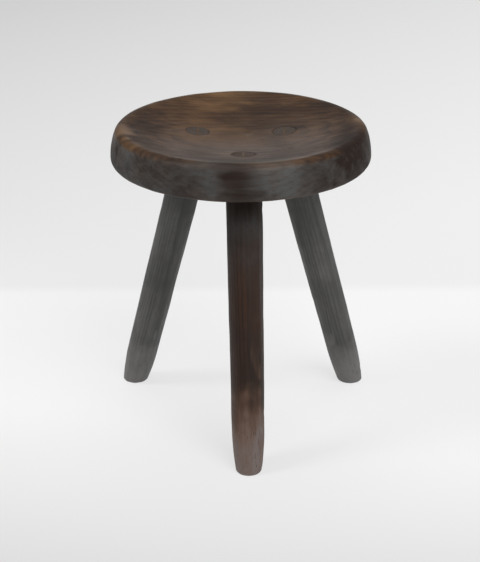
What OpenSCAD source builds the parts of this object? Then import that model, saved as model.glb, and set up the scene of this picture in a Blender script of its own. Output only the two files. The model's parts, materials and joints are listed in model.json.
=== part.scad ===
// Three-legged stool: a thick dished seat on three splayed round legs.
// Each leg passes through the seat and is locked from above by a wedge.
// Millimetres, +Z up, the floor at z = 0, the front leg towards -Y.

/* [Seat] */
// Width of the round seat at its widest line
seat_d = 360; // [330:1:400]
// Height of the rim's crest above the floor
seat_h = 436; // [400:1:520]
// Thickness of the seat from the rim's crest to the underside
seat_t = 56; // [52:1:66]
// Width of the rolled rim from its crest out to the widest line
rim_w = 18; // [17:1:28]
// Radius of the roll along the rim's crest
rim_r = 13; // [8:1:15]
// Depth of the dished top below the rim's crest
dish_depth = 24; // [16:1:28]
// Height of the widest line above the underside
belly_h = 15; // [12:1:22]
// Radius of the rounded lower edge
edge_r = 9; // [6:1:11]
// Width of the flat on the underside
flat_d = 210; // [150:1:260]

/* [Legs] */
// Distance from the seat's axis to a leg's axis at the underside
leg_top_reach = 79; // [66:1:92]
// Distance from the seat's axis to a leg's axis at the floor
leg_foot_reach = 188; // [160:1:210]
// Direction of the front leg about the seat's axis
front_leg_angle = 272.7; // [265:0.1:280]
// Direction of the right leg about the seat's axis
right_leg_angle = 27.6; // [20:0.1:40]
// Direction of the left leg about the seat's axis
left_leg_angle = 150.8; // [140:0.1:160]
// Diameter of a leg at the seat's underside
leg_top_d = 50; // [42:1:56]
// Diameter of a leg just above its foot
leg_calf_d = 45; // [38:1:50]
// Diameter of a leg at the floor
leg_sole_d = 36; // [26:1:38]
// Length over which a leg narrows to its foot
foot_taper = 58; // [30:1:110]
// Width of the bevel round the sole
sole_bevel = 2.5; // [1:0.5:5]

/* [Joinery] */
// Diameter of the round tenon on a leg
tenon_d = 32; // [26:1:38]
// Radial gap between a tenon and its mortise
tenon_gap = 0.1; // [0.05:0.05:0.3]
// Gap between a leg's scribed shoulder and the seat's underside
shoulder_gap = 0.1; // [0.05:0.05:0.3]
// Direction of the seat's grain, which the wedges lie across
grain_angle = 0; // [-90:1:90]
// Length of a wedge below the top of its tenon
wedge_len = 30; // [20:1:32]
// Thickness of a wedge at the top of its tenon
wedge_t = 3.6; // [2.5:0.1:5]
// Thickness of a wedge at its thin end
wedge_tip_t = 0.8; // [0.5:0.1:1.5]
// Gap between a wedge and the kerf that it is driven into
wedge_gap = 0.1; // [0.05:0.05:0.2]
// Depth of the kerf below the wedge's thin end
kerf_spare = 2; // [1:0.5:3]

/* [Hidden] */
$fn = 96;
seat_r = seat_d / 2;
under_h = seat_h - seat_t;

// The rim's roll, and the large arc of the dish that meets it in a tangent
crest_r = seat_r - rim_w;
roll_z = seat_t - rim_r;
dish_r = (crest_r * crest_r + dish_depth * dish_depth) / (2 * dish_depth) - rim_r;
dish_z = seat_t - dish_depth + dish_r;
dish_sweep = asin(crest_r / (dish_r + rim_r));

// The bulging wall: an arc that leaves the roll in a tangent and is upright at the widest line
wall_drop = roll_z - belly_h;
wall_r = (rim_w * rim_w + wall_drop * wall_drop - rim_r * rim_r) / (2 * (rim_w - rim_r));
wall_sweep = asin(wall_drop / (wall_r - rim_r));

// The lower edge, and the shallow cone from it in to the flat of the underside
edge_x = seat_r - edge_r;
cone_run = edge_x - flat_d / 2;
cone_slope = atan(belly_h / cone_run) - asin(edge_r / norm([cone_run, belly_h]));

// The legs' lean, and the distance along a leg's axis from the floor to the underside
splay = atan((leg_foot_reach - leg_top_reach) / under_h);
leg_len = under_h / cos(splay);
sole_reach = leg_sole_d / 2 / cos(splay);

// The seat's axis lies behind the origin, which is midway between the front foot and the seat's back
axis_y = (leg_foot_reach + sole_reach - seat_r) / 2;

// Where a leg's axis comes out through the dish
exit_r = leg_top_reach - (seat_t - dish_depth) * tan(splay);
exit_z = dish_z - sqrt(dish_r * dish_r - exit_r * exit_r);
tenon_end = leg_len + exit_z / cos(splay);

// The spare length that a cut runs past a face, and past the whole seat
past = leg_top_d / 2;
seat_past = seat_t / cos(splay) + past;

// Steps in each arc of a turned outline
arc_steps = 16;

// Points of an arc, from the first angle to the second
function arc(cx, cz, r, from, to) = [
    for (i = [0 : arc_steps]) let (a = from + (to - from) * i / arc_steps) [cx + r * cos(a), cz + r * sin(a)]
];

// Points of the dish from the axis out to the rim's roll
function dish_arc() = arc(0, dish_z, dish_r, -90, -90 + dish_sweep);

// Radius of a leg at a distance along its axis from the floor
function leg_r(s) = s < foot_taper
    ? leg_calf_d / 2 - (leg_calf_d - leg_sole_d) / 2 * pow(1 - s / foot_taper, 2)
    : leg_calf_d / 2 + (leg_top_d - leg_calf_d) / 2 * (s - foot_taper) / (leg_len - foot_taper);

// The seat's place over the floor, and the frame of a leg: its foot at the floor, +Z up its axis
module at_seat() {
    translate([0, axis_y, under_h]) children();
}

module at_foot(angle) {
    translate([0, axis_y, 0]) rotate([0, 0, angle]) translate([leg_foot_reach, 0, 0]) children();
}

module along_leg(angle) {
    at_foot(angle) rotate([0, -splay, 0]) children();
}

// The seat turned and hollowed, before its mortises are bored
module seat_blank() {
    rotate_extrude() polygon(concat(
        dish_arc(),
        arc(crest_r, roll_z, rim_r, 90 + dish_sweep, wall_sweep),
        arc(seat_r - wall_r, belly_h, wall_r, wall_sweep, 0),
        arc(edge_x, belly_h, edge_r, 0, cone_slope - 90),
        [[flat_d / 2, 0], [0, 0]]
    ));
}

// The air above the dish, which trims the tenons and the wedges flush with it
module dish_air() {
    rotate_extrude() polygon(concat(
        dish_arc(),
        [[crest_r, seat_t + seat_past], [0, seat_t + seat_past]]
    ));
}

// A round bar along a leg's axis, where the tenon or the mortise goes
module tenon_bar(angle, gap) {
    along_leg(angle) translate([0, 0, leg_len - past])
        cylinder(h = past + seat_past, d = tenon_d + 2 * gap);
}

// The tapered slot across the grain that holds a wedge, or the wedge itself with no gap
module wedge_stock(angle, gap, spare) {
    grow = (wedge_t - wedge_tip_t) / wedge_len;
    top = seat_past;
    along_leg(angle) rotate([0, 0, grain_angle - angle]) translate([0, tenon_d, tenon_end - wedge_len])
        rotate([90, 0, 0]) linear_extrude(2 * tenon_d) polygon([
            [-wedge_tip_t / 2 - gap, -spare],
            [wedge_tip_t / 2 + gap, -spare],
            [wedge_tip_t / 2 + gap, 0],
            [(wedge_tip_t + grow * top) / 2 + gap, top],
            [-(wedge_tip_t + grow * top) / 2 - gap, top],
            [-wedge_tip_t / 2 - gap, 0]
        ]);
}

// The leg's body, narrowed to its foot and cut level with the floor
module shaft(angle) {
    start = -past;
    intersection() {
        along_leg(angle) rotate_extrude() polygon(concat(
            [[0, start]],
            [for (i = [0 : arc_steps]) let (s = start + (foot_taper - start) * i / arc_steps) [leg_r(s), s]],
            [[leg_r(leg_len), leg_len], [leg_r(leg_len), leg_len + past], [0, leg_len + past]]
        ));
        at_foot(angle) cylinder(
            h = seat_h,
            r1 = sole_reach - sole_bevel,
            r2 = sole_reach - sole_bevel + seat_h
        );
    }
}

module leg(angle) {
    difference() {
        union() {
            difference() {
                shaft(angle);
                translate([0, 0, -shoulder_gap]) at_seat() seat_blank();
            }
            difference() {
                tenon_bar(angle, 0);
                at_seat() dish_air();
            }
        }
        wedge_stock(angle, wedge_gap, kerf_spare);
    }
}

module wedge(angle) {
    difference() {
        intersection() {
            wedge_stock(angle, 0, 0);
            tenon_bar(angle, 0);
        }
        at_seat() dish_air();
    }
}

module seat() {
    color([0.29, 0.23, 0.19]) difference() {
        at_seat() seat_blank();
        for (angle = [front_leg_angle, right_leg_angle, left_leg_angle]) tenon_bar(angle, tenon_gap);
    }
}

module leg_front() {
    color([0.23, 0.18, 0.15]) leg(front_leg_angle);
}

module leg_right() {
    color([0.24, 0.24, 0.23]) leg(right_leg_angle);
}

module leg_left() {
    color([0.24, 0.24, 0.23]) leg(left_leg_angle);
}

module wedge_front() {
    color([0.34, 0.27, 0.2]) wedge(front_leg_angle);
}

module wedge_right() {
    color([0.34, 0.27, 0.2]) wedge(right_leg_angle);
}

module wedge_left() {
    color([0.34, 0.27, 0.2]) wedge(left_leg_angle);
}

seat();
leg_front();
leg_right();
leg_left();
wedge_front();
wedge_right();
wedge_left();
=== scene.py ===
import json
import math

import bpy
import numpy as np
from mathutils import Matrix, Vector, noise


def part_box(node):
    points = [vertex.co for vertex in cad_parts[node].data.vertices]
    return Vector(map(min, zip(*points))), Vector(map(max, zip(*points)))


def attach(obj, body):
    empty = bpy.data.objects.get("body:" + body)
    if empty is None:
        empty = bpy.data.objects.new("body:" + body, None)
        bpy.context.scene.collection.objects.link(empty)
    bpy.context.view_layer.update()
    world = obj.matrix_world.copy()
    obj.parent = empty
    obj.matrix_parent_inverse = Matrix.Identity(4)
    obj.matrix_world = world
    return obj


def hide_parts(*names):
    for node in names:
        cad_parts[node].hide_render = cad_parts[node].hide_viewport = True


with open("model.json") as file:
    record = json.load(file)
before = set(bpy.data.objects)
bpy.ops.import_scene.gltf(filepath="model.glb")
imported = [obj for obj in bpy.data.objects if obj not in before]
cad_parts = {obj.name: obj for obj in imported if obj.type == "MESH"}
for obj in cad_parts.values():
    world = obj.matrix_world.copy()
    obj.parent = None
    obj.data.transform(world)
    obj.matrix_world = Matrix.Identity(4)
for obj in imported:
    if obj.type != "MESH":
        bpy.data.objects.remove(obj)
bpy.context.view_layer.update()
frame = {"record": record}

# Camera, fitted to the photograph's 480 x 562 frame
FRAME_H = 562
FOCAL_PX = 1532.2
CAMERA_PLACE = (-0.0020, -2.0013, 1.0748)
CAMERA_PITCH = math.radians(23.43)
CAMERA_ROLL = math.radians(-0.28)
SENSOR = 36.0

# Seat: its box gives the width, the thickness and the axis, and the rest is the turned outline
SEAT_LOW, SEAT_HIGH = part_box("seat")
SEAT_R = (SEAT_HIGH.x - SEAT_LOW.x) / 2
SEAT_T = SEAT_HIGH.z - SEAT_LOW.z
UNDER_H = SEAT_LOW.z
SEAT_AXIS = Vector((0, (SEAT_LOW.y + SEAT_HIGH.y) / 2, UNDER_H))
RIM_W = 0.018
RIM_R = 0.013
DISH_DEPTH = 0.024
BELLY_H = 0.015
EDGE_R = 0.009
FLAT_R = 0.105

# Outline of the seat, from the values above
CREST_R = SEAT_R - RIM_W
ROLL_Z = SEAT_T - RIM_R
DISH_R = (CREST_R**2 + DISH_DEPTH**2) / (2 * DISH_DEPTH) - RIM_R
DISH_Z = SEAT_T - DISH_DEPTH + DISH_R
DISH_SWEEP = math.asin(CREST_R / (DISH_R + RIM_R))
WALL_DROP = ROLL_Z - BELLY_H
WALL_R = (RIM_W**2 + WALL_DROP**2 - RIM_R**2) / (2 * (RIM_W - RIM_R))
WALL_SWEEP = math.asin(WALL_DROP / (WALL_R - RIM_R))
EDGE_X = SEAT_R - EDGE_R
CONE_RUN = EDGE_X - FLAT_R
CONE_SLOPE = math.atan(BELLY_H / CONE_RUN) - math.asin(EDGE_R / math.hypot(CONE_RUN, BELLY_H))

# Legs and wedges
LEG_TOP_REACH = 0.079
LEG_TOP_R = 0.025
CALF_R = 0.0225
SOLE_R = 0.018
FOOT_TAPER = 0.058
SHOULDER_GAP = 0.0001
TENON_R = 0.016
MORTISE_R = 0.0161
WEDGE_LEN = 0.030
WEDGE_T = 0.0036
WEDGE_TIP_T = 0.0008
WEDGE_GAP = 0.0001
KERF_SPARE = 0.002

# Each leg's foot on the floor, by the name of the leg's node
FEET = {m["name"].replace("foot", "leg"): Vector(m["pos_m"]) for m in frame["record"]["mounts"]}

# Rings of the seat's top, each with six more points than the one inside it, and rows of its outline
SEAT_RINGS = 80
SEAT_COLUMNS = 6 * SEAT_RINGS
ROW_STEP = 0.0012

# Columns and rows of a leg, and how far from its ends the closest rows lie
LEG_COLUMNS = 96
LEG_STEP = 0.0025
LEG_END_ROWS = [0.00002, 0.0002, 0.0005, 0.0009, 0.0014, 0.0020, 0.0028, 0.004]

# Length at each end of a leg over which its rows turn from level with the floor to square across the leg
LEG_ROW_TURN = 0.07

# Radius of a sole's worn edge, the flats that shaving leaves round a leg, and the spare above the foot that
# makes up for what it takes off
SOLE_ROUND = 0.0026
LEG_FACETS = 9
LEG_SPARE = 0.0004

# A tenon's eased edge: shares of its radius with their depths below the dish, and the shares further in
TENON_EASE = 0.0005
TENON_EDGE = [(1, TENON_EASE), (0.993, 0.00022), (0.978, 0.00008), (0.955, 0)]
TENON_SHARES = (0.88, 0.74, 0.58, 0.42, 0.26, 0.1)

# A mortise's eased mouth: what it is wider than the mortise, and its height over the dish
MORTISE_MOUTH = [(0, -0.0009), (0.00006, -0.0005), (0.0003, -0.0001), (0.0011, 0.0006), (0.0011, 0.02)]

# How far cutters run past the faces that they cut
MORTISE_PAST = 0.03
WEDGE_PAST = 0.01

# Drying checks: side along X, y, start and end along the surface from the middle, width, depth and seed
DRYING_CHECKS = [
    (-1, 0.012, 0.118, 0.196, 0.0011, 0.006, 1),
    (-1, -0.046, 0.134, 0.186, 0.0008, 0.004, 2),
    (1, 0.030, 0.126, 0.192, 0.0010, 0.005, 3),
    (1, -0.062, 0.140, 0.180, 0.0007, 0.004, 4),
]
CHECK_STATIONS = 15

# The blade that cuts a check: how far its back stands over the wood, and its width there beside the check's
BLADE_BACK = 0.002
BLADE_FLARE = 1.4

# How many knocks the seat's rim and wall, its top and each leg have
RIM_KNOCKS = 34
TOP_KNOCKS = 12
LEG_KNOCKS = 30

# Edges with a larger angle than this stay sharp in the shading
SHARP_ANGLE = math.radians(38)

# Patches of the seat: paler ones, partly rubbed wear and partly painted highlights; darker ones, partly
# stains and partly painted shade on the near rim; and painted grey highlights: x, y from its axis, size and
# strength
RUBBED_AND_HIGHLIT = [
    (-0.07, 0.10, 0.06, 0.15),
    (-0.02, 0.15, 0.04, 0.28),
    (-0.17, -0.02, 0.025, 0.4),
    (-0.164, -0.086, 0.024, 0.42),
    (-0.02, 0.0, 0.08, 0.28),
    (0.172, 0.022, 0.032, 0.3),
    (-0.048, -0.136, 0.02, 0.2),
    (0.045, -0.147, 0.022, 0.15),
]
STAINED_AND_SHADED = [
    (0.138, -0.086, 0.034, 0.6),
    (0.098, -0.142, 0.024, 0.35),
    (0.10, 0.10, 0.05, 0.2),
    (0.025, 0.108, 0.04, 0.4),
    (-0.066, -0.166, 0.03, 0.45),
    (-0.11, -0.145, 0.04, 0.22),
    (-0.146, -0.055, 0.024, 0.5),
    (-0.004, -0.178, 0.026, 0.8),
]
PAINTED_GREY_HIGHLIGHTS = [
    (0.040, -0.140, 0.032, 0.6),
    (-0.038, -0.144, 0.032, 0.55),
    (0.06, 0.03, 0.05, 0.15),
]

# The seat's dark end grain, left and right: where it starts on top, its strength, and its share on the wall;
# and the length over which it sets in
LEFT_END = (0.07, 0.45, 0.8)
RIGHT_END = (0.105, 0.8, 0.6)
END_FADE = 0.045

# How high each kind of leg is worn pale and how much painted shade darkens it just under the seat, and how
# worn the wedges are
LEG_WEAR = {"front_leg_wood": (0.15, 0.9), "rear_leg_wood": (0.11, 0.2)}
WEDGE_WEAR = 0.3

# Woods: the grain's axis, a point on the rings' middle line, the rings' spacing, the wood's dark and light,
# its colours where lightly and well rubbed, also used for painted highlights, and the grey of its grime and
# painted sheen
WOODS = {
    "seat_wood": {
        "along": "x",
        "pith": (0, 0.01, -0.15),
        "ring": 0.0055,
        "tones": ((0.018, 0.009, 0.006), (0.114, 0.058, 0.026)),
        "worn": ((0.125, 0.066, 0.029), (0.195, 0.110, 0.052)),
        "sheen_and_grime": (0.080, 0.080, 0.077),
        "roughness": 0.40,
        "seed": 1.0,
    },
    "front_leg_wood": {
        "along": "z",
        "pith": (0.06, 0.02, 0),
        "ring": 0.0045,
        "tones": ((0.014, 0.007, 0.004), (0.045, 0.019, 0.010)),
        "worn": ((0.110, 0.062, 0.040), (0.168, 0.132, 0.120)),
        "sheen_and_grime": (0.055, 0.052, 0.050),
        "roughness": 0.48,
        "seed": 4.0,
    },
    "rear_leg_wood": {
        "along": "z",
        "pith": (-0.05, 0.03, 0),
        "ring": 0.0045,
        "tones": ((0.050, 0.049, 0.047), (0.132, 0.129, 0.123)),
        "worn": ((0.134, 0.131, 0.126), (0.165, 0.161, 0.156)),
        "sheen_and_grime": (0.070, 0.070, 0.069),
        "roughness": 0.50,
        "seed": 7.0,
    },
    "wedge_wood": {
        "along": "z",
        "pith": (0.004, 0.03, 0),
        "ring": 0.003,
        "tones": ((0.030, 0.018, 0.011), (0.085, 0.050, 0.028)),
        "worn": ((0.100, 0.060, 0.034), (0.120, 0.075, 0.042)),
        "sheen_and_grime": (0.020, 0.015, 0.011),
        "roughness": 0.45,
        "seed": 9.0,
    },
}

# Colour of a tenon's end in the seat
END_GRAIN = (0.050, 0.029, 0.017)

# The grain's patterns: their scale along it beside that across it, how far they wander in metres, and how
# far the rings wander, in rings
GRAIN_STRETCH = 0.09
GRAIN_BEND = 0.016
RING_WOBBLE = 2.2

# Where along Y the pale floor turns to the slightly darker wall behind
FLOOR_EDGE = 0.42

# The floor's palest grey, and what it loses as painted shade of the studio light's falloff: in front of the
# stool, up to a limit, where the wall starts, far back, and at the left
FLOOR_GREY = 0.920
FRONT_LOSS = 0.345
FRONT_LIMIT = 0.170
EDGE_LOSS = 0.058
FAR_LOSS = 0.203
SIDE_LOSS = 0.1

# Share of the floor's look that shows its grey as it is, and the floor's reach from the middle
FLOOR_SHOWN = 0.72
FLOOR_REACH = 30

# The studio's light, the backdrop as it is seen and mirrored, and how far off the lamps hang
STUDIO_LIGHT = (0.14, 0.14, 0.14)
BACKDROP = (0.86, 0.86, 0.865)
LAMP_REACH = 3


# Fields and meshes


def smooth(low, high, value):
    """0 below low, 1 above high, and a smooth step between them; low may be the larger."""
    t = np.clip((value - low) / (high - low), 0.0, 1.0)
    return t * t * (3 - 2 * t)


def rough_field(points, size, seed, octaves=3):
    """Smooth noise from about -1 to 1 at each point, with features about size metres across."""
    shift = Vector((seed * 7.31, seed * 3.17, seed * 5.73))
    scaled = np.asarray(points) / size
    return np.array([noise.fractal(Vector(p) + shift, 1.0, 2.0, octaves) for p in scaled])


def scallops(points, size, seed):
    """Shallow round hollows that meet in ridges, 1 in their middles and about 0 at the ridges."""
    shift = Vector((seed * 5.1, seed * 2.3, seed * 8.7))
    scaled = np.asarray(points) / np.asarray(size)
    near = np.array([noise.voronoi(Vector(p) + shift)[0][0] for p in scaled])
    return np.clip(1 - 1.4 * near**2, 0, 1)


def dents(points, places, sizes, depths):
    """Depth of small round knocks at each point."""
    total = np.zeros(len(points))
    for place, size, depth in zip(places, sizes, depths):
        away = np.linalg.norm(points - place, axis=1) / size
        total = np.maximum(total, depth * np.clip(1 - away**2, 0, 1) ** 1.5)
    return total


def turns(count):
    """Angles of even steps round a circle."""
    return np.arange(count) * 2 * math.pi / count


def new_object(name, points, faces, matrix):
    """An object with a mesh of its own, set in the frame of matrix."""
    mesh = bpy.data.meshes.new(name)
    mesh.from_pydata([tuple(p) for p in points], [], faces)
    mesh.validate()
    mesh.update()
    made = bpy.data.objects.new(name, mesh)
    bpy.context.scene.collection.objects.link(made)
    made.matrix_world = matrix
    return made


def points_of(mesh):
    flat = np.zeros(len(mesh.vertices) * 3)
    mesh.vertices.foreach_get("co", flat)
    return flat.reshape(-1, 3)


def normals_of(mesh):
    flat = np.zeros(len(mesh.vertices) * 3)
    mesh.vertices.foreach_get("normal", flat)
    return flat.reshape(-1, 3)


def sink(mesh, depth):
    """Moves each point of a mesh inwards along its normal."""
    moved = points_of(mesh) - normals_of(mesh) * depth[:, None]
    mesh.vertices.foreach_set("co", moved.ravel())
    mesh.update()


def store(mesh, name, values):
    """Keeps a value from 0 to 1 for each point, which the materials read by its name."""
    layer = mesh.attributes.new(name, "FLOAT", "POINT")
    layer.data.foreach_set("value", np.clip(values, 0, 1).astype(np.float32))


def cut(piece, cutter, operation="DIFFERENCE"):
    """Applies a boolean of two closed meshes to piece, and removes the cutter."""
    step = piece.modifiers.new("cut", "BOOLEAN")
    step.operation = operation
    step.solver = "MANIFOLD"
    step.object = cutter
    bpy.context.view_layer.update()
    ready = piece.evaluated_get(bpy.context.evaluated_depsgraph_get())
    mesh = bpy.data.meshes.new_from_object(ready)
    piece.modifiers.clear()
    piece.data = mesh
    bpy.data.objects.remove(cutter)


def finish_piece(piece, material, node):
    """Keeps each point's place in the piece's own timber, then sets the piece in the stool's frame."""
    timber = piece.data.attributes.new("timber", "FLOAT_VECTOR", "POINT")
    timber.data.foreach_set("vector", points_of(piece.data).astype(np.float32).ravel())
    piece.data.transform(piece.matrix_world)
    piece.matrix_world = Matrix.Identity(4)
    piece.data.shade_smooth()
    piece.data.set_sharp_from_angle(angle=SHARP_ANGLE)
    piece.data.materials.clear()
    piece.data.materials.append(material)
    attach(piece, "root")
    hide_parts(node)


# Seat


def arc(cx, cz, radius, start, end):
    """Points (r, z) of an arc of the seat's outline, about ROW_STEP apart, after its first one."""
    count = math.ceil(abs(end - start) * radius / ROW_STEP)
    angles = np.linspace(start, end, count + 1)[1:]
    return [(cx + radius * math.cos(a), cz + radius * math.sin(a)) for a in angles]


def ring_start(ring):
    """Index of a disc ring's first point, where ring k has 6k points and ring 0 has one."""
    return 0 if ring == 0 else 1 + 3 * ring * (ring - 1)


def disc_faces(rings):
    """Even triangles of a disc made of rings round one middle point."""
    faces = []
    for ring in range(1, rings + 1):
        inner, outer = ring_start(ring - 1), ring_start(ring)
        inner_count, outer_count = max(1, 6 * (ring - 1)), 6 * ring
        for side in range(6):
            for i in range(ring):
                a = outer + side * ring + i
                b = outer + (side * ring + i + 1) % outer_count
                c = inner + (side * (ring - 1) + i) % inner_count
                faces.append((a, b, c))
                if i < ring - 1:
                    d = inner + (side * (ring - 1) + i + 1) % inner_count
                    faces.append((c, b, d))
    return faces


def ring_points(radius, height, count):
    turn = turns(count)
    return np.stack([radius * np.cos(turn), radius * np.sin(turn), np.full(count, height)], 1)


def seat_form():
    """The turned seat, in its own frame: its axis is z, and its underside is z = 0."""
    rows = []
    for ring in range(SEAT_RINGS + 1):
        angle = DISH_SWEEP * ring / SEAT_RINGS
        height = DISH_Z - DISH_R * math.cos(angle)
        rows.append(ring_points(DISH_R * math.sin(angle), height, max(1, 6 * ring)))
    quarter = math.pi / 2
    outline = arc(CREST_R, ROLL_Z, RIM_R, quarter + DISH_SWEEP, WALL_SWEEP)
    outline += arc(SEAT_R - WALL_R, BELLY_H, WALL_R, WALL_SWEEP, 0)
    outline += arc(EDGE_X, BELLY_H, EDGE_R, 0, CONE_SLOPE - quarter)
    last_r, last_z = outline[-1]
    cone_rows = math.ceil((last_r - FLAT_R) / (2 * ROW_STEP))
    share = np.linspace(0, 1, cone_rows + 1)[1:]
    outline += [(last_r + (FLAT_R - last_r) * t, last_z * (1 - t)) for t in share]
    rows += [ring_points(r, z, SEAT_COLUMNS) for r, z in outline]
    faces = disc_faces(SEAT_RINGS)
    last_ring = ring_start(SEAT_RINGS)
    for row in range(len(outline)):
        upper = last_ring + row * SEAT_COLUMNS
        for i in range(SEAT_COLUMNS):
            j = (i + 1) % SEAT_COLUMNS
            faces.append((upper + i, upper + SEAT_COLUMNS + i, upper + SEAT_COLUMNS + j, upper + j))
    for ring in range(SEAT_RINGS):
        rows.append(ring_points(FLAT_R * ring / SEAT_RINGS, 0, max(1, 6 * ring)))
    edge = last_ring + len(outline) * SEAT_COLUMNS
    base = edge + SEAT_COLUMNS
    under = {last_ring + i: edge + i for i in range(SEAT_COLUMNS)}
    for face in disc_faces(SEAT_RINGS):
        faces.append(tuple(under.get(i, base + i) for i in reversed(face)))
    return np.concatenate(rows), faces


def seat_knocks():
    """Places, sizes and depths of the knocks on the seat, most of them round its rim."""
    dice = np.random.default_rng(11)
    count = RIM_KNOCKS + TOP_KNOCKS
    turn = dice.uniform(0, 2 * math.pi, count)
    reach = np.concatenate([dice.uniform(0.150, 0.181, RIM_KNOCKS), dice.uniform(0.03, 0.15, TOP_KNOCKS)])
    height = np.concatenate([dice.uniform(0.008, 0.056, RIM_KNOCKS), np.full(TOP_KNOCKS, 0.036)])
    places = np.stack([reach * np.cos(turn), reach * np.sin(turn), height], 1)
    return places, dice.uniform(0.003, 0.010, count), dice.uniform(0.0002, 0.0009, count)


KNOCKS = seat_knocks()


def seat_relief(points, normals):
    """How far the worn, carved surface lies inside the turned form, in metres."""
    up = normals[:, 2]
    reach = np.hypot(points[:, 0], points[:, 1])
    hollow = (0.00016 + 0.0002 * smooth(0.3, 0.9, up)) * (1 + rough_field(points, 0.075, 1, 2))
    worn = 0.0003 * smooth(0.03, 0.15, reach) * smooth(0.7, 1.0, up) * (1 + rough_field(points, 0.05, 2, 2))
    tooled = 0.0004 * scallops(points, (0.034, 0.020, 0.020), 3) * smooth(-0.5, -0.95, up)
    shaved = 0.00016 * scallops(points, (0.045, 0.045, 0.014), 4) * smooth(0.8, 0.4, np.abs(up))
    return hollow + worn + tooled + shaved + dents(points, *KNOCKS)


def patches(points, places):
    """Soft patches with uneven outlines on the seat's top, from their (x, y, size, strength)."""
    uneven = 1 + 0.55 * rough_field(points * (0.6, 1, 1), 0.022, 24)
    total = np.zeros(len(points))
    for x, y, size, strength in places:
        away = np.hypot(points[:, 0] - x, points[:, 1] - y) / size * uneven
        total += strength * np.exp(-away**2)
    return total


def outline_point(y, travel):
    """Point and normal on the seat's top at a given y, where travel runs out from the dish over the rim."""
    dish_end = DISH_R * DISH_SWEEP
    roll_end = dish_end + RIM_R * (math.pi / 2 + DISH_SWEEP - WALL_SWEEP)
    if travel < dish_end:
        angle = travel / DISH_R
        r, z, tilt = DISH_R * math.sin(angle), DISH_Z - DISH_R * math.cos(angle), -angle
    elif travel < roll_end:
        tilt = -DISH_SWEEP + (travel - dish_end) / RIM_R
        r, z = CREST_R + RIM_R * math.sin(tilt), ROLL_Z + RIM_R * math.cos(tilt)
    else:
        tilt = math.pi / 2 - WALL_SWEEP + (travel - roll_end) / WALL_R
        r, z = SEAT_R - WALL_R + WALL_R * math.sin(tilt), BELLY_H + WALL_R * math.cos(tilt)
    turn = math.asin(y / r)
    out = Vector((math.cos(turn), math.sin(turn), 0))
    return out * r + Vector((0, 0, z)), out * math.sin(tilt) + Vector((0, 0, math.cos(tilt)))


def drying_check(side, y, start, end, width, depth, seed):
    """A crack along the grain, as a thin blade that is cut from the seat; side is 1 or -1 along X."""
    points = []
    for i in range(CHECK_STATIONS):
        t = i / (CHECK_STATIONS - 1)
        wander = 0.0012 * noise.noise(Vector((t * 5, seed, 0.5)))
        place, normal = outline_point(y + wander, start + (end - start) * t)
        open_by = width * math.sin(math.pi * (0.04 + 0.92 * t)) ** 0.7
        bottom = -depth * math.sin(math.pi * (0.1 + 0.8 * t))
        across = Vector((0, 1, 0)) - normal * normal.y
        across.normalize()
        for height, spread in ((BLADE_BACK, BLADE_FLARE), (BLADE_BACK, -BLADE_FLARE), (bottom, 0)):
            corner = place + normal * height + across * open_by * spread / 2
            points.append((side * corner.x, corner.y, corner.z))
    faces = []
    for i in range(CHECK_STATIONS - 1):
        for a in range(3):
            b = (a + 1) % 3
            faces.append((3 * i + a, 3 * i + b, 3 * i + 3 + b, 3 * i + 3 + a))
    last = 3 * (CHECK_STATIONS - 1)
    faces += [(2, 1, 0), (last, last + 1, last + 2)]
    if side < 0:
        faces = [tuple(reversed(f)) for f in faces]
    return points, faces


# Legs


def leg_frame(foot):
    """Splay, direction, length to the underside, and the matrix of a leg's own frame: z up its axis."""
    out = Vector((foot.x, foot.y)) - SEAT_AXIS.to_2d()
    splay = math.atan((out.length - LEG_TOP_REACH) / UNDER_H)
    angle = math.atan2(out.y, out.x)
    turn = Matrix.Rotation(angle, 4, "Z") @ Matrix.Rotation(-splay, 4, "Y")
    return splay, angle, UNDER_H / math.cos(splay), Matrix.Translation(foot) @ turn


def leg_radius(s, length):
    """Radius of a leg's turned form at a distance s from the floor along its axis."""
    foot = CALF_R - (CALF_R - SOLE_R) * np.clip(1 - s / FOOT_TAPER, 0, None) ** 2
    return foot + (LEG_TOP_R - CALF_R) * np.clip((s - FOOT_TAPER) / (length - FOOT_TAPER), 0, None)


def cap_height(x, y, matrix):
    """Height in a leg's frame at which (x, y) meets the dish as worn."""
    middle = matrix.inverted() @ (SEAT_AXIS + Vector((0, 0, DISH_Z)))
    s = middle.z - np.sqrt(DISH_R**2 - (x - middle.x) ** 2 - (y - middle.y) ** 2)
    local = np.stack([x, y, s], -1).reshape(-1, 3)
    to_seat = np.array(Matrix.Translation(-SEAT_AXIS) @ matrix)
    points = local @ to_seat[:3, :3].T + to_seat[:3, 3]
    normals = (np.array((0, 0, DISH_Z)) - points) / DISH_R
    slant = normals @ to_seat[:3, 2]
    return s - (seat_relief(points, normals) / slant).reshape(np.shape(s))


def closed_tube(rows):
    """Points and faces of stacked rings, closed by a point at each end's middle."""
    columns = len(rows[0])
    low, high, top = len(rows) * columns, len(rows) * columns + 1, (len(rows) - 1) * columns
    faces = []
    for start in range(0, top, columns):
        for i in range(columns):
            j = (i + 1) % columns
            faces.append((start + i, start + j, start + columns + j, start + columns + i))
    for i in range(columns):
        j = (i + 1) % columns
        faces += [(j, i, low), (top + i, top + j, high)]
    ends = np.array([rows[0].mean(0), rows[-1].mean(0)])
    return np.concatenate([*rows, ends]), faces


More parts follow.
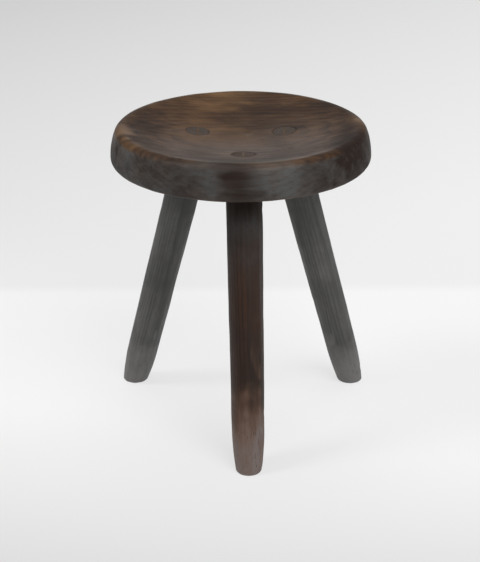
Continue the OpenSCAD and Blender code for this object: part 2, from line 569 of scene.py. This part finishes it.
def leg_form(foot, seed):
    """A leg with its scribed shoulder and its tenon, shaved and worn, in its own frame."""
    splay, _, length, matrix = leg_frame(foot)
    slope = math.tan(splay)
    turn = turns(LEG_COLUMNS)
    cos, sin = np.cos(turn), np.sin(turn)
    top = length - SHOULDER_GAP / math.cos(splay)
    middle = list(np.arange(0.006, top - 0.005, LEG_STEP))
    steps = LEG_END_ROWS + middle + [top - x for x in reversed(LEG_END_ROWS)]
    rows = []
    for q in steps:
        tilt = 1 - smooth(0.0, LEG_ROW_TURN, q) * smooth(top, top - LEG_ROW_TURN, q)
        s = np.full(LEG_COLUMNS, q)
        # The radius depends on a point's place along the leg, and that on the radius, so both are refined
        for _ in range(3):
            radius = leg_radius(s, length) - leg_relief(turn, s, length, seed)
            s = q - radius * cos * slope * tilt
        ring = np.stack([radius * cos, radius * sin, s], 1)
        if q < SOLE_ROUND:
            inward = np.array((0, 0, q)) - ring
            inset = SOLE_ROUND - math.sqrt(SOLE_ROUND**2 - (SOLE_ROUND - q) ** 2)
            wear = inset * (1 + 0.5 * rough_field(ring, 0.012, seed, 2))
            ring += inward / np.linalg.norm(inward, axis=1)[:, None] * wear[:, None]
        rows.append(ring)
    x, y = TENON_R * cos, TENON_R * sin
    shoulder = top - x * slope
    ends = cap_height(x, y, matrix) - TENON_EASE
    for share in (0, 0.3, 0.7, 0.94):
        rows.append(np.stack([x, y, shoulder + (ends - shoulder) * share], 1))
    for share, drop in TENON_EDGE + [(share, 0) for share in TENON_SHARES]:
        ring_x, ring_y = x * share, y * share
        rows.append(np.stack([ring_x, ring_y, cap_height(ring_x, ring_y, matrix) - drop], 1))
    sole = [rows[0] * share for share in (0.1, 0.4, 0.7)]
    return closed_tube(sole + rows)


def leg_relief(turn, s, length, seed):
    """How far the shaved, worn surface of a leg lies inside its turned form."""
    radius = leg_radius(s, length)
    points = np.stack([radius * np.cos(turn), radius * np.sin(turn), s], 1)
    swing = 0.35 * rough_field(points * (0.2, 0.2, 1), 0.12, seed + 3, 1)
    across = np.abs((turn + swing) * LEG_FACETS / (2 * math.pi) % 1 - 0.5) * 2
    shaved = 0.00035 * (1 - across**2)
    bumpy = 0.0003 * (1 + rough_field(points, 0.035, seed, 2))
    spare = LEG_SPARE * smooth(0.02, 0.07, s)
    return shaved + bumpy - spare + dents(points, *leg_knocks(seed, length))


def leg_knocks(seed, length):
    """Places, sizes and depths of the knocks on a leg, most of them near its foot."""
    dice = np.random.default_rng(100 + seed)
    s = length * dice.uniform(0, 1, LEG_KNOCKS) ** 1.7
    turn = dice.uniform(0, 2 * math.pi, LEG_KNOCKS)
    radius = leg_radius(s, length)
    places = np.stack([radius * np.cos(turn), radius * np.sin(turn), s], 1)
    return places, dice.uniform(0.003, 0.009, LEG_KNOCKS), dice.uniform(0.0002, 0.0008, LEG_KNOCKS)


def wedge_trim(foot):
    """What a wedge is trimmed to: the tenon's round and the dish, in the leg's frame."""
    matrix = leg_frame(foot)[3]
    turn = turns(LEG_COLUMNS)
    radius = TENON_R - WEDGE_GAP
    x, y = radius * np.cos(turn), radius * np.sin(turn)
    ends = cap_height(x, y, matrix) - TENON_EASE
    rows = [np.stack([x, y, ends - (WEDGE_LEN + WEDGE_PAST) * (1 - t)], 1) for t in (0, 0.5, 1)]
    for share in (0.955, 0.8, 0.6, 0.4, 0.2, 0.08):
        rows.append(np.stack([x * share, y * share, cap_height(x * share, y * share, matrix)], 1))
    return closed_tube(rows)


def mortise_form(foot):
    """The mortise as a solid, with its eased mouth at the dish, in the leg's frame."""
    _, _, length, matrix = leg_frame(foot)
    turn = turns(LEG_COLUMNS)
    cos, sin = np.cos(turn), np.sin(turn)
    rows = [np.stack([MORTISE_R * cos, MORTISE_R * sin, np.full(LEG_COLUMNS, length - MORTISE_PAST)], 1)]
    for grow, height in MORTISE_MOUTH:
        x, y = (MORTISE_R + grow) * cos, (MORTISE_R + grow) * sin
        rows.append(np.stack([x, y, cap_height(x, y, matrix) + height], 1))
    return closed_tube(rows)


def wedge_form(foot, gap, spare):
    """The tapered stock of a wedge across the grain, or its kerf, in the leg's frame."""
    _, angle, _, matrix = leg_frame(foot)
    top = float(cap_height(np.zeros(1), np.zeros(1), matrix)[0])
    low = top - WEDGE_LEN
    grow = (WEDGE_T - WEDGE_TIP_T) / WEDGE_LEN
    high = WEDGE_LEN + TENON_R
    half = WEDGE_TIP_T / 2 + gap
    wide = (WEDGE_TIP_T + grow * high) / 2 + gap
    side = [(-half, -spare), (half, -spare), (half, 0), (wide, high), (-wide, high), (-half, 0)]
    span = 2 * TENON_R
    points = [(x, y, low + z) for y in (-span, span) for x, z in side]
    count = len(side)
    faces = [tuple(range(count)), tuple(reversed(range(count, 2 * count)))]
    for i in range(count):
        j = (i + 1) % count
        faces.append((i, count + i, count + j, j))
    turned = np.array(points) @ np.array(Matrix.Rotation(-angle, 3, "Z")).T
    return turned, faces


# Materials


class Finish:
    """The nodes of a material or of the world, with short calls for the kinds used here."""

    def __init__(self, owner):
        self.owner = owner
        owner.use_nodes = True
        self.tree = owner.node_tree
        self.tree.nodes.clear()

    def node(self, kind, inputs=None, **settings):
        made = self.tree.nodes.new(kind)
        for name, value in settings.items():
            setattr(made, name, value)
        for name, value in (inputs or {}).items():
            if isinstance(value, bpy.types.NodeSocket):
                self.tree.links.new(value, made.inputs[name])
            else:
                made.inputs[name].default_value = value
        return made

    def math(self, operation, *values, clamp=False):
        made = self.node("ShaderNodeMath", dict(enumerate(values)), operation=operation, use_clamp=clamp)
        return made.outputs[0]

    def vector(self, operation, *values):
        return self.node("ShaderNodeVectorMath", dict(enumerate(values)), operation=operation).outputs[0]

    def total(self, start, *parts):
        """The start value plus each part's value times its weight."""
        for value, weight in parts:
            start = self.math("ADD", start, self.math("MULTIPLY", value, weight))
        return start

    def scaled(self, vector, scale, shift):
        made = self.node("ShaderNodeMapping", {"Vector": vector, "Scale": scale, "Location": shift})
        return made.outputs[0]

    def noise(self, vector, scale, detail, roughness=0.5, output="Fac"):
        inputs = {"Vector": vector, "Scale": scale, "Detail": detail, "Roughness": roughness}
        return self.node("ShaderNodeTexNoise", inputs).outputs[output]

    def step(self, value, low, high, to_low=0.0, to_high=1.0, curve="SMOOTHSTEP"):
        inputs = {"Value": value, "From Min": low, "From Max": high, "To Min": to_low, "To Max": to_high}
        return self.node("ShaderNodeMapRange", inputs, interpolation_type=curve).outputs[0]

    def mix(self, factor, first, second):
        made = self.node("ShaderNodeMix", {"Factor": factor}, data_type="RGBA")
        for slot, value in ((6, first), (7, second)):
            if isinstance(value, bpy.types.NodeSocket):
                self.tree.links.new(value, made.inputs[slot])
            else:
                made.inputs[slot].default_value = (*value, 1)
        return made.outputs[2]

    def attribute(self, name, output="Fac"):
        return self.node("ShaderNodeAttribute", attribute_name=name).outputs[output]

    def surface(self, shader, output="ShaderNodeOutputMaterial"):
        """Ends the tree in its output, and gives back the material or the world."""
        self.tree.links.new(shader, self.node(output).inputs["Surface"])
        return self.owner


def growth_rings(f, place, along, pith, ring, wobble):
    """1 in the dark late wood of the rings round the pith's line, and 0 in the early wood."""
    across = [1.0, 1.0, 1.0]
    across["xyz".index(along)] = 0.0
    flat = f.vector("MULTIPLY", f.vector("SUBTRACT", place, pith), across)
    distance = f.node("ShaderNodeVectorMath", {0: flat}, operation="LENGTH").outputs[1]
    saw = f.math("FRACT", f.math("ADD", f.math("DIVIDE", distance, ring), wobble))
    return f.math("MULTIPLY", f.step(saw, 0.25, 0.86), f.step(saw, 1.0, 0.92))


def broken_up(f, amount, streaks, strength, full):
    """A painted amount that the streaks break up, and that fades out where it is under full."""
    uneven = f.math("ADD", amount, f.math("MULTIPLY", streaks, strength), clamp=True)
    return f.math("MULTIPLY", uneven, f.step(amount, 0.0, full))


def wood(name, along, pith, ring, tones, worn, sheen_and_grime, roughness, seed):
    """Old waxed wood, as WOODS describes it, made paler, darker and greyer where a piece's mesh says so: by
    wear, stains and grime, and by painted highlights, painted shade and a painted grey sheen.
    """
    f = Finish(bpy.data.materials.new(name))
    dark, light = tones
    place = f.attribute("timber", "Vector")
    stretch = [1.0, 1.0, 1.0]
    stretch["xyz".index(along)] = GRAIN_STRETCH
    drift = f.noise(f.scaled(place, stretch, (seed, 0, 0)), 26.0, 2.0, output="Color")
    bend = f.vector("SUBTRACT", drift, (0.5, 0.5, 0.5))
    bend = f.node("ShaderNodeVectorMath", {0: bend, 3: GRAIN_BEND}, operation="SCALE").outputs[0]
    moved = f.vector("ADD", place, bend)

    # Patterns of the grain: rings, fibres, streaks, pores and cloudy patches
    wobble = f.math("MULTIPLY", f.noise(f.scaled(place, stretch, (0, seed, 0)), 9.0, 2.0), RING_WOBBLE)
    late = growth_rings(f, moved, along, pith, ring, wobble)
    fibre = f.noise(f.scaled(moved, stretch, (0, 0, seed)), 420.0, 3.0, 0.65)
    streak = f.noise(f.scaled(moved, stretch, (seed, seed, 0)), 95.0, 3.0, 0.6)
    pore = f.step(f.noise(f.scaled(moved, stretch, (seed, 0, seed)), 900.0, 1.0), 0.36, 0.28)
    patch = f.step(f.noise(f.scaled(place, (1, 1, 1), (seed, seed, seed)), 14.0, 4.0, 0.55), 0.36, 0.68)
    streaks = f.math("SUBTRACT", streak, 0.5)

    # Colour: the bare wood, and then what wear, grime, stains and polish make of it, with painted
    # highlights, painted shade and a painted grey sheen among them
    shade = f.total(0.0, (late, 0.34), (f.step(streak, 0.3, 0.7), 0.42), (f.step(fibre, 0.25, 0.75), 0.24))
    bare = f.math("SUBTRACT", 1.0, shade)
    colour = f.mix(bare, dark, light)
    colour = f.mix(f.math("MULTIPLY", patch, 0.55), colour, dark)
    # The paler amount: wear, and on the seat also painted highlights
    rubbed_and_highlit = broken_up(f, f.attribute("wear"), streaks, 0.8, 0.25)
    colour = f.mix(f.step(rubbed_and_highlit, 0.0, 0.6), colour, worn[0])
    colour = f.mix(f.step(rubbed_and_highlit, 0.3, 1.0), colour, worn[1])
    # The grey: on the seat a painted sheen and painted highlights, on the legs a paler grey just under the
    # seat
    sheen_and_dirt = f.attribute("sheen_and_grime")
    colour = f.mix(f.math("MULTIPLY", sheen_and_dirt, f.step(bare, 0.15, 0.75, 0.7, 1.0)), colour, sheen_and_grime)
    # The darker amount: stains, dark knocks and joints, and painted shade under the rim and at the tops of
    # the legs
    stain_and_shade = f.attribute("stain_and_shade")
    colour = f.mix(broken_up(f, stain_and_shade, streaks, 1.1, 0.35), colour, dark)
    end = f.math("MULTIPLY", f.attribute("polish"), f.step(fibre, 0.2, 0.7, 0.95, 0.6))
    colour = f.mix(end, colour, END_GRAIN)
    colour = f.mix(f.math("MULTIPLY", pore, 0.6), colour, dark)

    # Gloss and the fine relief
    dull = f.math("ADD", sheen_and_dirt, stain_and_shade)
    gloss = f.total(roughness, (streaks, 0.16), (dull, 0.22), (f.attribute("handled"), -0.12))
    gloss = f.math("ADD", gloss, f.math("MULTIPLY", patch, 0.07), clamp=True)
    height = f.total(0.0, (streak, 0.8), (pore, -0.35), (late, 0.35), (fibre, 0.4))
    bump = f.node("ShaderNodeBump", {"Height": height, "Strength": 0.55, "Distance": 0.00045}).outputs[0]
    inputs = {"Base Color": colour, "Roughness": gloss, "Normal": bump, "Specular IOR Level": 0.28}
    return f.surface(f.node("ShaderNodeBsdfPrincipled", inputs).outputs[0])


# Pieces


def make_seat():
    """The seat, carved and worn, with its mortises and drying checks cut in."""
    seat = new_object("seat_dished", *seat_form(), Matrix.Translation(SEAT_AXIS))
    sink(seat.data, seat_relief(points_of(seat.data), normals_of(seat.data)))
    for foot in FEET.values():
        cut(seat, new_object("mortise", *mortise_form(foot), leg_frame(foot)[3]))
    for check in DRYING_CHECKS:
        cut(seat, new_object("check", *drying_check(*check), seat.matrix_world.copy()))
    paint_seat(seat.data)
    return seat


def joint_rings(points):
    """1 at the edges of the mortises, and 0 from a few millimetres off, for points in the seat's frame."""
    rings = np.zeros(len(points))
    for foot in FEET.values():
        inside = np.array(leg_frame(foot)[3].inverted() @ Matrix.Translation(SEAT_AXIS))
        local = points @ inside[:3, :3].T + inside[:3, 3]
        rings = np.maximum(rings, smooth(0.006, 0.0, np.hypot(local[:, 0], local[:, 1]) - MORTISE_R))
    return rings


def paint_seat(mesh):
    """Stores how worn, handled, stained and grey each point is, with dark end grain at both ends; painted
    highlights, painted shade and a painted grey sheen are stored among them.
    """
    points, normals = points_of(mesh), normals_of(mesh)
    reach = np.hypot(points[:, 0], points[:, 1])
    up = normals[:, 2]
    top = smooth(0.0, 0.6, up)
    crest = np.exp(-((reach - CREST_R) / 0.012) ** 2) * top
    # Paler: wear along the crest, and patches that are partly rubbed wear and partly painted highlights
    rubbed_and_highlit = patches(points, RUBBED_AND_HIGHLIT) * top
    store(mesh, "wear", 0.15 * crest * (1 + rough_field(points, 0.04, 21)) + rubbed_and_highlit)
    starts, strength, on_wall = np.where(points[:, :1] < 0, LEFT_END, RIGHT_END).T
    ends = smooth(starts, starts + END_FADE, np.abs(points[:, 0])) * top
    ends += on_wall * smooth(0.3, 0.8, np.abs(normals[:, 0])) * (1 - top)
    sat = np.exp(-((points[:, 0] - 0.01) / 0.09) ** 2 - ((points[:, 1] + 0.02) / 0.07) ** 2)
    held = np.exp(-((reach - CREST_R - 0.006) / 0.016) ** 2)
    store(mesh, "handled", (held + sat) * top * (1 - ends))
    knocks = dents(points, KNOCKS[0], KNOCKS[1] * 1.2, np.ones(len(KNOCKS[0])))
    mottle = (0.8 + 0.3 * rough_field(points, 0.03, 25)) * strength
    stain_and_shade = ends * mottle + 0.4 * knocks + 0.6 * joint_rings(points) + patches(points, STAINED_AND_SHADED)
    # Painted shade: the wall darker towards the overhanging roll of the rim
    stain_and_shade += 0.25 * smooth(0.015, 0.04, points[:, 2]) * (1 - top)
    store(mesh, "stain_and_shade", stain_and_shade - 2 * rubbed_and_highlit)
    # Painted grey sheen: a grey on the walls and underside that stands in for the pale floor's reflection,
    # and on the top the painted grey highlight patches
    side = smooth(0.72, 0.25, np.abs(up)) * (0.85 + 0.4 * rough_field(points, 0.03, 22))
    under = smooth(-0.4, -0.8, up) * (0.3 + 0.4 * rough_field(points, 0.05, 23))
    store(mesh, "sheen_and_grime", side + under + patches(points, PAINTED_GREY_HIGHLIGHTS) * top)


def make_leg(name, foot, seed, worn_height, under_seat_shade):
    """A leg, worn pale up to worn_height and darkened by so much painted shade just under the seat."""
    _, _, length, matrix = leg_frame(foot)
    leg = new_object(name, *leg_form(foot, seed), matrix)
    cut(leg, new_object("kerf", *wedge_form(foot, WEDGE_GAP, KERF_SPARE), matrix))
    points = points_of(leg.data)
    s = points[:, 2]
    foot_wear = smooth(worn_height, 0.0, s + 0.025 * rough_field(points, 0.03, seed + 40))
    scuffs = smooth(0.25, 0.6, rough_field(points * (1, 1, 0.35), 0.03, seed + 41)) * 0.3
    store(leg.data, "wear", foot_wear * 0.8 + scuffs * smooth(0.3, 0.05, s))
    inside = smooth(0.0, 0.002, s - length)
    under = smooth(0.16, 0.04, length - s) * (1 - inside)
    # A paler grey painted just under the seat
    store(leg.data, "sheen_and_grime", 0.55 * under * (1 + rough_field(points, 0.03, seed + 42)))
    # Painted shade: the leg darkened just under the seat, where the seat's shadow falls
    store(leg.data, "stain_and_shade", under_seat_shade * smooth(0.07, 0.02, length - s) * (1 - inside))
    store(leg.data, "polish", inside)
    return leg


def make_wedge(name, foot):
    """A wedge, trimmed flush with its tenon."""
    matrix = leg_frame(foot)[3]
    wedge = new_object(name, *wedge_form(foot, 0, 0), matrix)
    cut(wedge, new_object("trim", *wedge_trim(foot), matrix), "INTERSECT")
    store(wedge.data, "wear", np.full(len(wedge.data.vertices), WEDGE_WEAR))
    return wedge


def make_stool():
    woods = {name: wood(name, **look) for name, look in WOODS.items()}
    finish_piece(make_seat(), woods["seat_wood"], "seat")
    for seed, (node, foot) in enumerate(FEET.items(), 1):
        slot = "front_leg_wood" if node == "leg_front" else "rear_leg_wood"
        leg = make_leg(node + "_shaved", foot, seed, *LEG_WEAR[slot])
        finish_piece(leg, woods[slot], node)
        wedge_node = node.replace("leg", "wedge")
        wedge = make_wedge(wedge_node + "_driven", foot)
        finish_piece(wedge, woods["wedge_wood"], wedge_node)


# Stage


def floor_tone(f):
    """The floor's grey by place, with painted shade of the studio light's falloff: palest round the stool,
    and darker in front, behind and to the left.
    """
    place = f.node("ShaderNodeSeparateXYZ", {0: f.node("ShaderNodeTexCoord").outputs["Object"]}).outputs
    front = f.math("MINIMUM", f.step(place[1], 0.05, -0.9, 0.0, FRONT_LOSS), FRONT_LIMIT)
    edge = f.step(place[1], FLOOR_EDGE, FLOOR_EDGE + 0.05, 0.0, EDGE_LOSS)
    far = f.step(place[1], FLOOR_EDGE, 3.0, 0.0, FAR_LOSS, "LINEAR")
    side = f.step(place[0], -1.2, 1.2, SIDE_LOSS, -SIDE_LOSS, "LINEAR")
    away = f.math("MAXIMUM", f.step(place[1], 0.05, -0.15), f.step(place[1], 0.3, 0.9))
    behind = f.math("ADD", f.math("ADD", edge, far), f.math("MULTIPLY", side, away))
    in_view = f.step(f.math("ABSOLUTE", place[0]), 1.6, 0.8)
    return f.math("SUBTRACT", FLOOR_GREY, f.math("MULTIPLY", f.math("ADD", front, behind), in_view))


def make_floor():
    """A wide floor that is clear from below, lit as far as it doesn't show its own grey."""
    reach = FLOOR_REACH
    corners = [(-reach, -reach, 0), (reach, -reach, 0), (reach, reach, 0), (-reach, reach, 0)]
    floor = new_object("floor", corners, [(0, 1, 2, 3)], Matrix.Identity(4))
    f = Finish(bpy.data.materials.new("floor"))
    tone = floor_tone(f)
    grey = f.node("ShaderNodeCombineColor", {0: tone, 1: tone, 2: tone}).outputs[0]
    lit = f.node("ShaderNodeBsdfDiffuse", {"Color": grey}).outputs[0]
    shown = f.node("ShaderNodeEmission", {"Color": grey, "Strength": 1.0}).outputs[0]
    path = f.node("ShaderNodeLightPath").outputs
    mirrored = f.math("MAXIMUM", path["Is Glossy Ray"], path["Is Transmission Ray"])
    seen = f.math("MULTIPLY", f.math("MAXIMUM", path["Is Camera Ray"], mirrored), FLOOR_SHOWN)
    above = f.node("ShaderNodeMixShader", {0: seen, 1: lit, 2: shown}).outputs[0]
    clear = f.node("ShaderNodeBsdfTransparent").outputs[0]
    below = f.node("ShaderNodeNewGeometry").outputs["Backfacing"]
    shader = f.node("ShaderNodeMixShader", {0: below, 1: above, 2: clear}).outputs[0]
    floor.data.materials.append(f.surface(shader))


def make_world():
    """A dim studio, with a pale backdrop behind the stool that mirrors in it but doesn't light it."""
    f = Finish(bpy.data.worlds.new("studio"))
    way = f.node("ShaderNodeSeparateXYZ", {0: f.node("ShaderNodeTexCoord").outputs["Generated"]}).outputs
    backdrop = f.math("MULTIPLY", f.step(way[2], 0.48, 0.20), f.step(way[1], -0.15, 0.35))
    backdrop = f.math("MULTIPLY", backdrop, f.step(f.math("ABSOLUTE", way[0]), 0.45, 0.05))
    path = f.node("ShaderNodeLightPath").outputs
    seen = f.math("MAXIMUM", path["Is Camera Ray"], path["Is Transmission Ray"])
    seen = f.math("MAXIMUM", seen, f.math("MULTIPLY", path["Is Glossy Ray"], backdrop))
    colour = f.mix(seen, STUDIO_LIGHT, BACKDROP)
    light = f.node("ShaderNodeBackground", {"Color": colour, "Strength": 1.0}).outputs[0]
    bpy.context.scene.world = f.surface(light, "ShaderNodeOutputWorld")


def make_lamp(name, toward, strength, spread):
    """A soft light from far off, where toward points from the stool to it."""
    data = bpy.data.lights.new(name, "SUN")
    data.energy = strength
    data.angle = math.radians(spread)
    lamp = bpy.data.objects.new(name, data)
    lamp.rotation_mode = "QUATERNION"
    lamp.rotation_quaternion = Vector(toward).to_track_quat("Z", "Y")
    lamp.location = Vector(toward).normalized() * LAMP_REACH
    bpy.context.scene.collection.objects.link(lamp)


def make_camera():
    data = bpy.data.cameras.new("camera")
    data.sensor_width = SENSOR
    data.lens = FOCAL_PX * SENSOR / FRAME_H
    camera = bpy.data.objects.new("camera", data)
    camera.location = CAMERA_PLACE
    turn = Matrix.Rotation(math.pi / 2 - CAMERA_PITCH, 3, "X") @ Matrix.Rotation(CAMERA_ROLL, 3, "Z")
    camera.rotation_euler = turn.to_euler()
    bpy.context.scene.collection.objects.link(camera)
    bpy.context.scene.camera = camera


make_stool()
make_floor()
make_world()
make_lamp("softbox_right", toward=(0.34, -0.62, 0.70), strength=1.75, spread=45)
make_lamp("softbox_left", toward=(-0.66, -0.12, 0.72), strength=0.95, spread=18)
make_lamp("overhead", toward=(0.0, 0.12, 0.99), strength=0.82, spread=40)
make_camera()
bpy.context.scene.view_settings.view_transform = "Standard"
